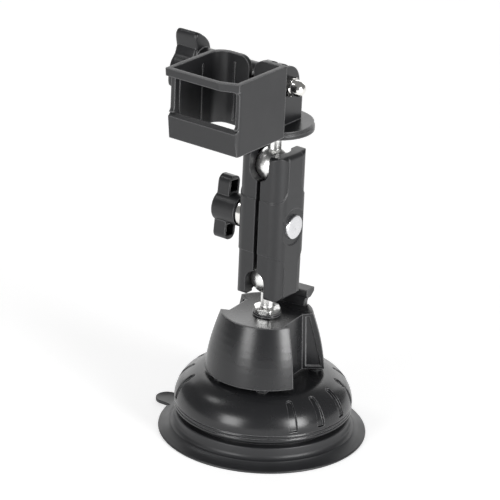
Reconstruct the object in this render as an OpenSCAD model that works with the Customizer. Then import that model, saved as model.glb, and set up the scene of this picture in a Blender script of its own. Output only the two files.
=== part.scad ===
// Suction cup camera mount: a lever-locked suction base, a double ball arm
// and a clamping sleeve for a small camera. Millimetres, +Z up, front is -Y.
// The origin is the centre of the rubber disc's underside, on the surface.

/* [Suction cup] */
// Radius of the rubber disc
pad_r = 48.7; // [46:0.1:54]
// Thickness of the rubber at its free edge
pad_edge_t = 1.3; // [1:0.1:2]
// Height of the thin skirt where it meets the upright ring
pad_skirt_h = 3.9; // [3:0.1:5]
// Outer radius of the upright rubber ring
pad_ring_r = 41.2; // [38:0.2:43]
// Wall of the upright rubber ring
pad_ring_wall = 6; // [4:0.5:8]
// Height of the upright rubber ring
pad_ring_h = 9.4; // [8:0.2:11]
// Thickness of the rubber web inside the ring
pad_web_t = 3.2; // [2:0.2:4]
// Height the locked plunger lifts the middle of the cup
cup_lift = 2.6; // [2:0.1:3.5]
// Reach of the pull tab from the centre of the cup
tab_reach = 57.8; // [54:0.2:66]
// Width of the pull tab
tab_w = 11.5; // [8:0.5:16]
// Turn of the whole base under the arm
base_turn = 6; // [0:0.5:15]

/* [Dome] */
// Outer radius of the dome
dome_r = 41.6; // [40:0.2:45]
// Open gap between the rubber ring and the dome
dome_gap = 2.6; // [1.5:0.1:4]
// Height of the upright band at the foot of the dome
dome_band_h = 3.6; // [3:0.2:6]
// Radius of the dome's rounded shoulder
dome_round = 14.6; // [11:0.2:15.6]
// Wall of the dome
dome_t = 2.4; // [1.8:0.1:3]
// Depth of the grip grooves
grip_depth = 0.8; // [0.4:0.1:1.2]
// Number of grip grooves in each of the two groups
grip_n = 5; // [3:1:6]
// Angle between neighbouring grip grooves
grip_pitch = 20.5; // [16:0.5:22]
// Turn of the two groups of grooves about the upright axis
grip_turn = 1; // [0:1:20]

/* [Tower] */
// Gap between the dome and the tower's lower edge
tower_gap = 1.8; // [1.2:0.1:3]
// Height of the tower
tower_h = 28.1; // [25:0.1:32]
// Radius of the tower at its lower edge
tower_base_r = 28; // [27:0.2:30]
// Radius of the tower at its top
tower_top_r = 21.5; // [20.5:0.1:23.5]
// Outward bulge of the tower's side between foot and top
tower_bulge = 0.9; // [0:0.1:1.5]
// Wall of the tower
tower_t = 1.6; // [1.2:0.1:2]
// Depth of the dished top
dish_depth = 1.3; // [1:0.1:2.5]
// Height of the lower stud's seat above the dish
seat_rise = 1.4; // [0.6:0.1:1.6]
// Reach of the two side recesses towards the front, at the tower's middle
recess_front = 9.6; // [8:0.2:11]
// Reach of the two side recesses towards the back, at the tower's middle
recess_rear = 7.2; // [4:0.2:8]
// Angle at which the side recesses widen outwards
recess_flare = 33; // [20:1:40]
// Half width of the middle of the tower at its foot
core_base_half = 16; // [15:0.1:16.5]
// Half width of the middle of the tower at its top
core_top_half = 15; // [13:0.1:15.4]

/* [Lever and plunger] */
// Half width of the lever across its two cheeks
lever_half = 10.8; // [10:0.1:11]
// Thickness of each cheek
cheek_t = 3.2; // [2.6:0.1:3.4]
// Thickness of the lever's back plate
lever_plate_t = 3; // [2:0.1:3.6]
// Front face of the lever's back plate
lever_plate_y = 15.6; // [15.2:0.1:16.4]
// Height of the finger tab above the tower
lever_tab_h = 7.6; // [7:0.2:18]
// Half width of the finger tab at its lip
lever_lip_half = 12.4; // [12:0.1:18]
// Angle through which the lever opens
lever_open = 55; // [45:1:58]
// Radius of the lever's cross pin
pin_r = 2.5; // [2:0.1:3]
// Height of the cross pin above the dome
pin_above_dome = 11.8; // [11:0.1:12.5]
// Distance the plunger drops when the lever opens
plunger_drop = 2.5; // [1.5:0.1:2.6]
// Radius of the plunger stem
stem_r = 4; // [3.5:0.1:4.5]
// Radius of the plate moulded on the cup's middle
plate_r = 15; // [12:0.5:18]
// Thickness of the moulded plate
plate_t = 2; // [1.5:0.1:3]

/* [Ball arm] */
// Radius of both balls
ball_r = 8.5; // [8:0.1:9]
// Height of the lower ball centre above the tower's top
ball_rise = 17.6; // [17:0.1:20]
// Distance between the two ball centres
ball_span = 55; // [52:0.5:64]
// Width of the arm across its split, along the clamp bolt
arm_w = 25; // [24:0.5:28]
// Depth of the arm from front to back
arm_d = 23.4; // [22:0.2:25]
// Radius of the arm's long corners
arm_corner = 6.2; // [5:0.2:8]
// Gap between the two arm halves
arm_gap = 2.2; // [1.2:0.1:3]
// Reach of the arm's ends beyond the ball centres
arm_end = 7.4; // [6.6:0.1:8]
// Radius of the arm's rounded ends
arm_round = 2; // [1:0.1:3]
// Radius of the open mouth round each neck
mouth_r = 7.5; // [7:0.1:8]
// Half width of the raised spines
spine_half = 5.1; // [3:0.1:6]
// Half height of the raised grip band at mid arm
band_half = 13; // [10:0.5:15]
// Height of the raised faces above the recessed ends
raise = 0.4; // [0.3:0.1:1]
// Half width of the neck notches at each end
notch_half = 5.3; // [5:0.1:6]
// Radius of the ball studs' necks
neck_r = 3.2; // [3:0.1:4.6]
// Radius of the studs' round flanges
flange_r = 6.4; // [6:0.1:7.5]

/* [Arm clamp] */
// Radius of the clamp bolt's shank
bolt_r = 3; // [2.5:0.1:3.2]
// Radius of the clamp bolt's round head
bolt_head_r = 5.6; // [5:0.1:6.2]
// Radius of the recessed ring around the bolt head
boss_r = 8.8; // [7:0.2:9]
// Radius of the metal collar on the knob side
collar_r = 6.6; // [5.5:0.1:7]
// Length of the metal collar
collar_len = 3.5; // [3:0.5:6]
// Radius of the clamp knob's hub
knob_hub_r = 7.3; // [6.8:0.1:8.5]
// Length of the clamp knob's hub
knob_hub_len = 12.7; // [10:0.1:15]
// Length of the clamp knob across its wings
knob_span = 30.6; // [28:0.2:40]
// Thickness of the clamp knob's wings
knob_wing_t = 7.8; // [5:0.1:9]
// Width of the clamp knob's wings along the bolt
knob_wing_w = 6.6; // [5:0.1:9]
// Turn of the clamp knob's wings from upright
knob_turn = 6; // [0:1:45]

/* [Adapter] */
// Height of the adapter's underside above the upper ball centre
adapter_rise = 17.8; // [17:0.1:22]
// Radius of the adapter disc
disc_r = 17.7; // [17:0.1:18.2]
// Thickness of the adapter disc
disc_t = 3.6; // [3:0.1:4.5]
// Width of the adapter's three-prong block
block_w = 15; // [14.6:0.1:15.6]
// Half depth of the block at the disc
block_half_d = 9; // [8.6:0.1:9.6]
// Radius of the prongs' round ends
prong_r = 9; // [8.4:0.1:9.4]
// Height of the pivot bolt above the disc
pivot_rise = 17.4; // [17.2:0.1:18.5]
// Thickness of the middle prong
prong_mid_t = 2.5; // [2.2:0.1:3]
// Thickness of each sleeve prong
prong_sleeve_t = 2.5; // [2:0.1:2.8]

/* [Camera sleeve] */
// Outer width of the sleeve
sleeve_w = 37.8; // [34:0.2:42]
// Offset of the sleeve's middle from the slot in its back
sleeve_shift = 1.3; // [0:0.1:2.5]
// Outer depth of the sleeve at its top
sleeve_d = 38.4; // [32:0.2:42]
// Height of the sleeve
sleeve_h = 33.6; // [31:0.2:34]
// Distance by which the front leans back from top to bottom
sleeve_lean = 4.2; // [0:0.1:6]
// Wall of the sleeve
sleeve_t = 2.2; // [1.8:0.1:2.6]
// Distance from the pivot bolt to the sleeve's back
sleeve_back = 18.2; // [16.5:0.1:20]
// Height of the band above the window
sleeve_band_h = 3.7; // [3:0.1:5]
// Height of the front panel below the window
sleeve_panel_h = 12.2; // [9:0.1:14]
// Depth of the window from the front, along the sides
window_d = 4.5; // [3:0.1:7]
// Width of the slot that splits the sleeve's back
slit_w = 2.6; // [2:0.1:3]
// Width of the cut front corner, along the front
sleeve_cut_w = 9.1; // [6:0.1:11]
// Depth of the cut front corner, along the side
sleeve_cut_d = 3.8; // [2:0.1:6]
// Radius of the large back corner
sleeve_back_r = 8; // [6:0.5:10]

/* [Pivot bolt] */
// Radius of the pivot bolt
pivot_r = 2.5; // [2:0.1:2.6]
// Width of the acorn nut across its flats
nut_flats = 8; // [7:0.1:8.4]
// Distance from the middle of the adapter to the long knob
neck_end = 42; // [36:1:52]
// Radius of the long knob's neck
knob_neck_r = 6.8; // [5.5:0.1:7.2]
// Width of the long knob's lobes along the bolt
lobe_w = 12.4; // [8:0.2:16]
// Radius of the long knob at the tips of its lobes
lobe_r = 15.6; // [13:0.2:17]
// Number of lobes on the long knob
lobe_n = 3; // [2:1:4]
// Turn of the long knob's lobes
lobe_turn = 35; // [0:1:120]

/* [Hidden] */

// Overrun of every cut past the face it opens
over = 1;
// Running clearance of shafts in their bores
run_gap = 0.06;
// Clearance between moving pieces that don't bear on each other
free_gap = 0.4;
// Clearance of the balls in their sockets
ball_gap = 0.3;
// Clearance of sliding guides
slide_gap = 0.1;
// Fineness of round surfaces
$fn = 96;

// Levels of the suction base
pad_web_z = cup_lift + pad_web_t;
dome_z = pad_ring_h + dome_gap;
dome_shoulder_z = dome_z + dome_band_h;
dome_top_z = dome_shoulder_z + dome_round;
dome_flat_r = dome_r - dome_round;
guide_h = 3.5 * dome_t;
tower_z = dome_top_z + tower_gap;
tower_top_z = tower_z + tower_h;
dish_z = tower_top_z - dish_depth;
top_plate_t = 1.5 * tower_t;
top_plate_z = dish_z - top_plate_t;
wear_t = 0.8;
pin_z = dome_top_z + pin_above_dome;

// Lever and its channel
cam_closed = pin_above_dome - wear_t - free_gap;
channel_half = lever_half + 2 * free_gap;
channel_front_y = -(cam_closed + 3 * over);
cheek_in = lever_half - cheek_t;
eye_r = 2 * pin_r + pin_r / 5;
eye_half = stem_r + 2 * run_gap;
lever_back_y = lever_plate_y + lever_plate_t;
lip_t = 2 * lever_plate_t;

// Stud seat in the tower
insert_r = bolt_r + 1.5 * over;
stud_boss_r = cheek_in - free_gap;
stud_boss_z = pin_z + eye_r + over;
seat_z = dish_z + seat_rise;
seat_r = 1.03 * flange_r;
flange_t = 2.2;
thread_r = bolt_r;
stud_thread_len = 9;

// Levels of the arm and the head
ball_lo_z = tower_top_z + ball_rise;
ball_hi_z = ball_lo_z + ball_span;
arm_mid_z = (ball_lo_z + ball_hi_z) / 2;
arm_half_len = ball_span / 2 + arm_end;
socket_r = ball_r + ball_gap;
adapter_z = ball_hi_z + adapter_rise;
disc_top_z = adapter_z + disc_t;
pivot_z = disc_top_z + pivot_rise;

// Stations along the clamp bolt, which runs along X
bolt_head_x = arm_w / 2 + over;
bolt_seat_x = arm_w / 2 - 1.5 * over;
collar_x = -arm_w / 2;
washer_t = 0.4 * over;
clamp_washer_x = collar_x - collar_len;
knob_face_x = clamp_washer_x - washer_t;
knob_end_x = knob_face_x - knob_hub_len;
wing_out_x = knob_end_x + over / 5;
knob_insert_r = bolt_r + 1.6 * over;
spring_wire_r = 0.5;
spring_r = bolt_r + 1.4 * over;
spring_half = 4.5 * over;
spring_turns = 5;
spring_pocket_r = spring_r + spring_wire_r + ball_gap;

// Stations along the pivot bolt, which runs along X
prong_gap = 0.25;
prong_mid_half = prong_mid_t / 2;
sleeve_prong_x = prong_mid_half + prong_gap;
outer_prong_x = sleeve_prong_x + prong_sleeve_t + prong_gap;
nut_t = 4;
nut_seat_x = block_w / 2 - 2 * over;
nut_dome_r = nut_flats / 2 - run_gap;
pivot_washer_t = 0.8;
neck_x = -block_w / 2 - pivot_washer_t;
ledge_z = pivot_z - nut_flats / 2 - run_gap;

// Sleeve levels
sleeve_z = pivot_z - sleeve_h / 2;
sleeve_top_z = pivot_z + sleeve_h / 2;
panel_top_z = sleeve_z + sleeve_panel_h;
band_z = sleeve_top_z - sleeve_band_h;

// Screws that hold the tower to the dome
screw_r = 1.5;
screw_head_r = 2.7;
screw_head_t = 1.8;
screw_boss_r = 2 * screw_r;
screw_depth = 8;
screw_ring_r = tower_base_r - tower_t - screw_boss_r + free_gap;
front_screw = screw_ring_r * [sin(28), -cos(28)];
rear_screw_x = core_base_half + screw_boss_r;
rear_screw = [rear_screw_x, sqrt(pow(screw_ring_r, 2) - pow(rear_screw_x, 2))];
screw_places = [
    [front_screw.x, front_screw.y], [-front_screw.x, front_screw.y],
    [rear_screw.x, rear_screw.y], [-rear_screw.x, rear_screw.y]
];

// Runs a drawing in Y and Z along X, from x0 over a length
module along_x(x0, len) {
    translate([x0, 0, 0]) rotate([90, 0, 90]) linear_extrude(len) children();
}

// Runs a drawing in X and Z along Y, from y0 over a length
module along_y(y0, len) {
    translate([0, y0 + len, 0]) rotate([90, 0, 0]) linear_extrude(len) children();
}

// A rod along X, from x0 to x1, at height z
module rod_x(x0, x1, r, z) {
    translate([x0, 0, z]) rotate([0, 90, 0]) cylinder(r = r, h = x1 - x0);
}

// A block between two opposite corners
module block(low, high) {
    translate(low) cube(high - low);
}

// A rectangle about the origin with round corners
module round_rect(w, d, r) {
    square([w - 2 * r, d], center = true);
    square([w, d - 2 * r], center = true);
    for (x = [-1, 1], y = [-1, 1])
        translate([x * (w / 2 - r), y * (d / 2 - r)]) circle(r = r);
}

// Turns a piece of the base under the arm
module turned() {
    rotate([0, 0, base_turn]) children();
}

// The same piece on both sides of the YZ plane
module both_sides() {
    children();
    mirror([1, 0, 0]) children();
}

// Rubber disc with its upright ring, web and pull tab
module suction_pad() {
    skirt_r = pad_ring_r + pad_edge_t;
    ring_in_r = pad_ring_r - pad_ring_wall;
    color("#202124") turned() {
        rotate_extrude() polygon([
            [0, cup_lift], [plate_r, cup_lift], [ring_in_r, 0], [pad_r, 0],
            [pad_r, pad_edge_t], [skirt_r, pad_skirt_h], [pad_ring_r, pad_skirt_h + pad_edge_t],
            [pad_ring_r, pad_ring_h], [ring_in_r, pad_ring_h], [ring_in_r, pad_web_z],
            [plate_r, pad_web_z], [0, pad_web_z]
        ]);
        difference() {
            union() {
                block([-(tab_reach - tab_w / 2), -tab_w / 2, 0], [-pad_ring_r, tab_w / 2, pad_edge_t]);
                translate([-(tab_reach - tab_w / 2), 0, 0]) cylinder(r = tab_w / 2, h = pad_edge_t);
            }
            translate([0, 0, -over]) cylinder(r = (pad_r + pad_ring_r) / 2, h = pad_edge_t + 2 * over);
        }
    }
}

// Stiff plate moulded on the middle of the cup
module plunger_plate() {
    color("#8a8d90") translate([0, 0, pad_web_z]) cylinder(r = plate_r, h = plate_t);
}

// Stem that rises from the plate to the cross pin
module plunger_stem() {
    foot_z = pad_web_z + plate_t;
    color("#b9bcc0") turned() difference() {
        union() {
            translate([0, 0, foot_z]) cylinder(r = 2 * stem_r, h = plate_t);
            translate([0, 0, foot_z]) cylinder(r = stem_r, h = pin_z - foot_z);
            rod_x(-eye_half, eye_half, eye_r, pin_z);
        }
        rod_x(-eye_half - over, eye_half + over, pin_r, pin_z);
    }
}

// Cross pin through the stem's eye and the lever's cheeks
module lever_pin() {
    color("#c9ccd0") turned() rod_x(-lever_half + run_gap, lever_half - run_gap, pin_r, pin_z);
}

// One grip groove cutter, bent round the shoulder in the XZ plane
module grip_cutter() {
    reach = dome_round + grip_depth;
    cut_r = 2 * grip_depth;
    low_turn = 8;
    high_turn = 66;
    translate([dome_flat_r, 0, dome_shoulder_z]) rotate([90, 0, 0]) {
        rotate([0, 0, low_turn]) rotate_extrude(angle = high_turn - low_turn)
            translate([reach, 0]) circle(r = cut_r, $fn = 32);
        for (a = [low_turn, high_turn])
            rotate([0, 0, a]) translate([reach, 0, 0]) sphere(r = cut_r - run_gap / 2, $fn = 32);
    }
}

// Half profile of the dome's outer form
module dome_profile() {
    translate([0, dome_z]) square([dome_r, dome_band_h]);
    translate([0, dome_shoulder_z]) square([dome_flat_r, dome_round]);
    translate([0, pad_ring_h]) square([dome_r - dome_t, dome_gap + dome_t]);
    intersection() {
        translate([dome_flat_r, dome_shoulder_z]) circle(r = dome_round);
        translate([dome_flat_r, dome_shoulder_z]) square([dome_round, dome_round]);
    }
}

// Half profile of the hollow inside the dome
module dome_hollow() {
    in_round = dome_round - dome_t;
    translate([0, pad_ring_h - over]) square([pad_ring_r - pad_ring_wall, dome_gap + dome_t + 2 * over]);
    translate([0, dome_z + dome_t]) square([dome_r - dome_t, dome_band_h - dome_t]);
    translate([0, dome_shoulder_z]) square([dome_flat_r, in_round]);
    intersection() {
        translate([dome_flat_r, dome_shoulder_z]) circle(r = in_round);
        translate([dome_flat_r, dome_shoulder_z]) square([in_round, in_round]);
    }
}

// Dome that presses the rubber ring onto the surface
module base_dome() {
    line_w = dome_t / 5;
    color("#1b1c1e") turned() difference() {
        rotate_extrude() difference() {
            dome_profile();
            difference() {
                dome_hollow();
                translate([0, dome_top_z - guide_h]) square([2 * stem_r, guide_h]);
            }
            translate([0, dome_top_z - guide_h - over]) square([stem_r + slide_gap, guide_h + 2 * over]);
            for (level = [0.36, 0.72] * dome_band_h)
                translate([dome_r - line_w, dome_z + level]) square([dome_t, line_w]);
        }
        for (p = screw_places)
            translate([p.x, p.y, dome_top_z - dome_t - over]) cylinder(r = screw_r + slide_gap, h = dome_t + 2 * over);
        for (side = [0, 180], i = [0 : grip_n - 1])
            rotate([0, 0, grip_turn + side + (i - (grip_n - 1) / 2) * grip_pitch]) grip_cutter();
    }
}

// Thin steel plate on the dome that the cam cheeks press on
module wear_plate() {
    half_w = lever_half + free_gap;
    half_d = cam_closed;
    color("#c4c7ca") turned() difference() {
        block([-half_w, -half_d, dome_top_z], [half_w, half_d, dome_top_z + wear_t]);
        translate([0, 0, dome_top_z - over]) cylinder(r = stem_r + over, h = wear_t + 2 * over);
    }
}

// Radius of the tower at a share of its height, drawn in by an inset
function tower_r(share, inset) =
    tower_base_r + (tower_top_r - tower_base_r) * share + tower_bulge * sin(180 * share) - inset;

// Convex cone of the tower's outer form, drawn in by an inset and ended at a height share
module tower_form(inset, top_share) {
    steps = 8;
    translate([0, 0, tower_z]) rotate_extrude() polygon(concat(
        [[0, 0]],
        [for (i = [0 : steps]) let (s = top_share * i / steps) [tower_r(s, inset), tower_h * s]],
        [[0, tower_h * top_share]]
    ));
}

// One screw boss of the tower, from the dome's top up into the tower
module screw_boss(p) {
    translate([p.x, p.y, tower_z - tower_gap]) cylinder(r = screw_boss_r, h = screw_depth + tower_gap);
}

// Plan of the right side recess, grown all round by a wall
module recess_plan(grow) {
    low_x = core_top_half - over - grow;
    high_x = tower_base_r + over;
    side = grow / cos(recess_flare);
    function widen(x) = (x - core_base_half) * tan(recess_flare) + side;
    polygon([
        [low_x, -recess_front - widen(low_x)], [high_x, -recess_front - widen(high_x)],
        [high_x, recess_rear + widen(high_x)], [low_x, recess_rear + widen(low_x)]
    ]);
}

// Distance along a recess's rear face at which the tower's radius is reached
function face_reach(r) =
    let (mid = core_base_half * cos(recess_flare) + recess_rear * sin(recess_flare))
    sqrt(mid * mid - pow(core_base_half, 2) - pow(recess_rear, 2) + r * r) - mid;

// Cone with side recesses and a channel for the lever at its back
module tower() {
    low = tower_z - over;
    high = tower_top_z + over;
    out = tower_base_r + over;
    panel_low = tower_z + tower_t;
    panel_high = tower_top_z - tower_t;
    channel_wall = channel_half + tower_t;
    hollow_share = 1 - (tower_top_z - top_plate_z) / tower_h;
    dish_r = (pow(tower_top_r - tower_t / 2, 2) + pow(dish_depth, 2)) / (2 * dish_depth);
    color("#1d1e20") turned() difference() {
        union() {
            difference() {
                tower_form(0, 1);
                both_sides() intersection() {
                    along_y(-out, 2 * out) polygon([
                        [core_base_half, low], [out + over, low], [out + over, high], [core_top_half, high]
                    ]);
                    translate([0, 0, low]) linear_extrude(high - low) recess_plan(0);
                }
                both_sides() translate([core_base_half, recess_rear, 0]) rotate([0, 0, recess_flare])
                    along_y(-over, over + tower_t / 2) polygon([
                        [tower_t, panel_low], [face_reach(tower_base_r) - tower_t, panel_low],
                        [face_reach(tower_top_r) - tower_t, panel_high],
                        [tower_t - core_base_half + core_top_half, panel_high]
                    ]);
                block([-channel_half, channel_front_y, low], [channel_half, out, top_plate_z]);
                block([-channel_half, lever_plate_y - free_gap, low], [channel_half, out, high]);
                difference() {
                    tower_form(tower_t, hollow_share);
                    block([-channel_wall, channel_front_y - tower_t, low - over], [channel_wall, out, high]);
                    both_sides() translate([0, 0, low - over]) linear_extrude(high - low) recess_plan(tower_t);
                }
                translate([0, 0, dish_z + dish_r]) sphere(r = dish_r, $fn = 240);
            }
            intersection() {
                union() {
                    tower_form(0, 1);
                    translate([0, 0, tower_z - tower_gap]) cylinder(r = tower_base_r, h = tower_gap);
                }
                for (p = screw_places) screw_boss(p);
            }
            translate([0, 0, stud_boss_z]) cylinder(r = stud_boss_r, h = dish_z - stud_boss_z);
            translate([0, 0, dish_z - top_plate_t]) cylinder(r = seat_r, h = top_plate_t + seat_rise);
        }
        translate([0, 0, stud_boss_z - over]) cylinder(r = insert_r, h = seat_z - stud_boss_z + 2 * over);
        for (p = screw_places)
            translate([p.x, p.y, tower_z - tower_gap - over])
                cylinder(r = screw_r + run_gap / 2, h = screw_depth + over);
    }
}

// Four screws up through the dome into the tower
module base_screws() {
    color("#9a9da1") turned() for (p = screw_places) {
        translate([p.x, p.y, dome_top_z - dome_t - screw_head_t]) cylinder(r = screw_head_r, h = screw_head_t);
        translate([p.x, p.y, dome_top_z - dome_t]) cylinder(r = screw_r, h = dome_t + screw_depth - over);
    }
}

// Threaded brass insert that holds the lower ball stud
module stud_insert() {
    color("#b08d57") translate([0, 0, stud_boss_z]) difference() {
        cylinder(r = insert_r, h = seat_z - stud_boss_z);
        translate([0, 0, -over]) cylinder(r = thread_r + run_gap, h = seat_z - stud_boss_z + 2 * over);
    }
}

// Point of the cam outline at a turn, in Y and Z from the pin: the height of
// the flat that bears on it falls evenly as the lever opens
cam_fall = plunger_drop / (lever_open * PI / 180);
function cam_h(turn) = cam_closed - plunger_drop * turn / lever_open;
function cam_point(turn) = [
    cam_h(turn) * sin(turn) - cam_fall * cos(turn),
    -cam_h(turn) * cos(turn) - cam_fall * sin(turn)
];

// U-shaped lever: two cam cheeks, a back plate and a flared finger tab
module cam_lever() {
    cam_steps = 12;
    cam_end = cam_point(lever_open);
    foot_z = cam_end.y + (lever_back_y - cam_end.x) * tan(lever_open);
    arm_z = top_plate_z - pin_z - free_gap;
    flare_z = tower_top_z + 2 * over;
    tab_z = tower_top_z + lever_tab_h;
    lip_z = tab_z - lip_t / 2;
    color("#1f2022") turned() difference() {
        union() {
            for (x0 = [-lever_half, cheek_in]) translate([0, 0, pin_z]) along_x(x0, cheek_t) polygon(concat(
                [[-0.7 * cam_closed, 0.2 * cam_closed], [-0.7 * cam_closed, -0.8 * cam_closed],
                    [-0.5 * cam_closed, -cam_closed]],
                [for (i = [0 : cam_steps]) cam_point(lever_open * i / cam_steps)],
                [[lever_back_y, foot_z], [lever_back_y, tower_top_z - pin_z], [lever_plate_y, tower_top_z - pin_z],
                    [lever_plate_y, arm_z], [lever_plate_y - free_gap, arm_z],
                    [0.3 * lever_plate_y, 0.8 * eye_r + pin_r], [-0.3 * cam_closed, 0.6 * cam_closed]]
            ));
            block([-lever_half, lever_plate_y, pin_z + foot_z + lever_plate_t],
                [lever_half, lever_back_y, flare_z]);
            along_y(lever_plate_y, lever_plate_t) polygon([
                [-lever_half, flare_z - over], [lever_half, flare_z - over],
                [lever_lip_half, tab_z], [-lever_lip_half, tab_z]
            ]);
            along_x(-lever_lip_half, 2 * lever_lip_half) polygon([
                [lever_plate_y - over / 2, tab_z], [lever_plate_y - over / 2, lip_z],
                [lever_plate_y, lip_z - over], [lever_back_y, lip_z - over],
                [lever_plate_y + lip_t, lip_z + over], [lever_plate_y + lip_t, tab_z]
            ]);
        }
        rod_x(-lever_half - over, lever_half + over, pin_r + run_gap, pin_z);
    }
}

// A ball on a neck with a flanged foot and a threaded end, ball centre at the origin
module ball_stud(neck_len, thread_len) {
    hex_h = flange_t * 0.6;
    color("#d9dbde") {
        sphere(r = ball_r);
        translate([0, 0, -neck_len]) cylinder(r = neck_r, h = neck_len);
        translate([0, 0, -neck_len - flange_t / 2]) intersection() {
            cylinder(r = flange_r, h = flange_t / 2 + hex_h / 2);
            translate([-flange_r, -0.88 * flange_r, 0]) cube([2 * flange_r, 1.76 * flange_r, flange_t]);
        }
        translate([0, 0, -neck_len - flange_t]) cylinder(r = flange_r, h = flange_t / 2);
        translate([0, 0, -neck_len - flange_t - thread_len]) cylinder(r = thread_r, h = thread_len);
    }
}

// Ball stud screwed into the tower
module lower_ball_stud() {
    translate([0, 0, ball_lo_z]) ball_stud(ball_lo_z - seat_z - flange_t, stud_thread_len);
}

// Ball stud screwed into the adapter
module upper_ball_stud() {
    translate([0, 0, ball_hi_z]) mirror([0, 0, 1]) ball_stud(adapter_rise - flange_t, stud_thread_len);
}

// The raised pattern of an arm half in Y and Z: a spine, its tips and a band
module raised_pattern() {
    fillet = arm_d / 2 - spine_half + over;
    square([2 * spine_half, 2 * (arm_half_len + over)], center = true);
    square([arm_d + 2 * over, 2 * band_half], center = true);
    for (y = [-1, 1], z = [-1, 1]) scale([y, z]) difference() {
        translate([spine_half, band_half]) square([fillet, fillet]);
        translate([spine_half + fillet, band_half + fillet]) circle(r = fillet);
    }
}

// Both halves of the arm as one round-ended bar, drawn in by an inset
module arm_form(inset) {
    w = arm_w - 2 * inset;
    d = arm_d - 2 * inset;
    translate([0, 0, arm_mid_z]) intersection() {
        translate([0, 0, -arm_half_len]) linear_extrude(2 * arm_half_len) round_rect(w, d, arm_corner - inset);
        along_x(-arm_w, 2 * arm_w) round_rect(d, 2 * arm_half_len, arm_round);
        along_y(-arm_d, 2 * arm_d) round_rect(w, 2 * arm_half_len, arm_round);
    }
}

// The bar with its raised spines and band, before the split
module arm_bar() {
    arm_form(raise);
    intersection() {
        arm_form(0);
        translate([0, 0, arm_mid_z]) along_x(-arm_w, 2 * arm_w) raised_pattern();
    }
}

// What both arm halves leave open: sockets, neck notches, bolt hole and spring pocket
module arm_cuts() {
    for (z = [ball_lo_z, ball_hi_z]) translate([0, 0, z]) sphere(r = socket_r);
    for (end = [[ball_lo_z, -1], [ball_hi_z, 1]]) {
        reach = arm_end + over;
        along_y(-arm_d, 2 * arm_d) translate([0, end[0]]) {
            circle(r = notch_half);
            translate([-notch_half, end[1] > 0 ? 0 : -reach]) square([2 * notch_half, reach]);
        }
        translate([0, 0, end[0] - (end[1] > 0 ? 0 : reach)]) cylinder(r = mouth_r, h = reach);
    }
    rod_x(-arm_w, arm_w, bolt_r + run_gap, arm_mid_z);
    rod_x(-spring_half - ball_gap, spring_half + ball_gap, spring_pocket_r, arm_mid_z);
    rod_x(bolt_seat_x, arm_w, bolt_head_r + slide_gap, arm_mid_z);
    rod_x(arm_w / 2 - raise, arm_w, boss_r, arm_mid_z);
}

// Arm half that carries the bolt's head
module arm_half_bolt_side() {
    color("#1c1d1f") difference() {
        intersection() {
            arm_bar();
            block([arm_gap / 2, -arm_d, 0], [arm_w, arm_d, pivot_z]);
        }
        arm_cuts();
    }
}

// Arm half that the knob draws in
module arm_half_knob_side() {
    color("#1c1d1f") difference() {
        intersection() {
            arm_bar();
            block([-arm_w, -arm_d, 0], [-arm_gap / 2, arm_d, pivot_z]);
        }
        arm_cuts();
    }
}

// Round-headed bolt through both arm halves
module clamp_bolt() {
    color("#d2d4d7") {
        rod_x(bolt_seat_x, bolt_head_x, bolt_head_r, arm_mid_z);
        rod_x(knob_end_x + 2 * over, bolt_head_x - over, bolt_r, arm_mid_z);
    }
}

// Point on the spreader spring's wire: a share along it and an angle round the wire
function spring_point(share, round_angle) =
    let (
        turn = 360 * spring_turns * share,
        off = spring_r + spring_wire_r * cos(round_angle),
        run = 2 * (spring_half - spring_wire_r) * (share - 1 / 2)
    )
    [run + spring_wire_r * sin(round_angle), off * cos(turn), off * sin(turn)];

// Coil spring that parts the arm halves when the knob is loose
module spreader_spring() {
    rings = 14 * spring_turns;
    sides = 6;
    points = [for (i = [0 : rings], j = [0 : sides - 1]) spring_point(i / rings, 360 * j / sides)];
    walls = [for (i = [0 : rings - 1], j = [0 : sides - 1]) let (k = (j + 1) % sides)
        each [
            [i * sides + j, (i + 1) * sides + j, (i + 1) * sides + k],
            [i * sides + j, (i + 1) * sides + k, i * sides + k]
        ]];
    first = [for (j = [1 : sides - 2]) [0, j, j + 1]];
    last = [for (j = [1 : sides - 2]) [rings * sides, rings * sides + j + 1, rings * sides + j]];
    color("#b5b8bb") translate([0, 0, arm_mid_z]) polyhedron(points, concat(walls, first, last));
}

// Metal collar between the arm and the knob
module clamp_collar() {
    color("#cfd1d4") difference() {
        rod_x(collar_x - collar_len, collar_x, collar_r, arm_mid_z);
        rod_x(collar_x - collar_len - over, collar_x + over, bolt_r + run_gap, arm_mid_z);
    }
}

// Thin washer under the knob
module clamp_washer() {
    color("#2a2b2d") difference() {
        rod_x(knob_face_x, clamp_washer_x, collar_r, arm_mid_z);
        rod_x(knob_face_x - over, clamp_washer_x + over, bolt_r + run_gap, arm_mid_z);
    }
}

// Hub and two hollow wings that draw the arm halves together
module clamp_knob() {
    pocket_t = knob_wing_t - 2 * over;
    pocket_end = knob_span / 2 - 1.4 * over;
    wing_in_x = wing_out_x + knob_wing_w;
    color("#1e1f21") difference() {
        union() {
            rod_x(knob_end_x, knob_face_x, knob_hub_r, arm_mid_z);
            translate([0, 0, arm_mid_z]) rotate([-knob_turn, 0, 0]) along_x(wing_out_x, knob_wing_w)
                round_rect(knob_wing_t, knob_span, knob_wing_t / 2 - over / 2);
        }
        translate([0, 0, arm_mid_z]) rotate([-knob_turn, 0, 0]) for (s = [-1, 1])
            along_x(wing_in_x - knob_wing_w * 0.7, knob_wing_w) translate([0, s * (knob_hub_r + pocket_end) / 2])
                round_rect(pocket_t, pocket_end - knob_hub_r - over, over / 2);
        rod_x(knob_end_x + 1.5 * over, knob_face_x + over, knob_insert_r, arm_mid_z);
    }
}

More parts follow.
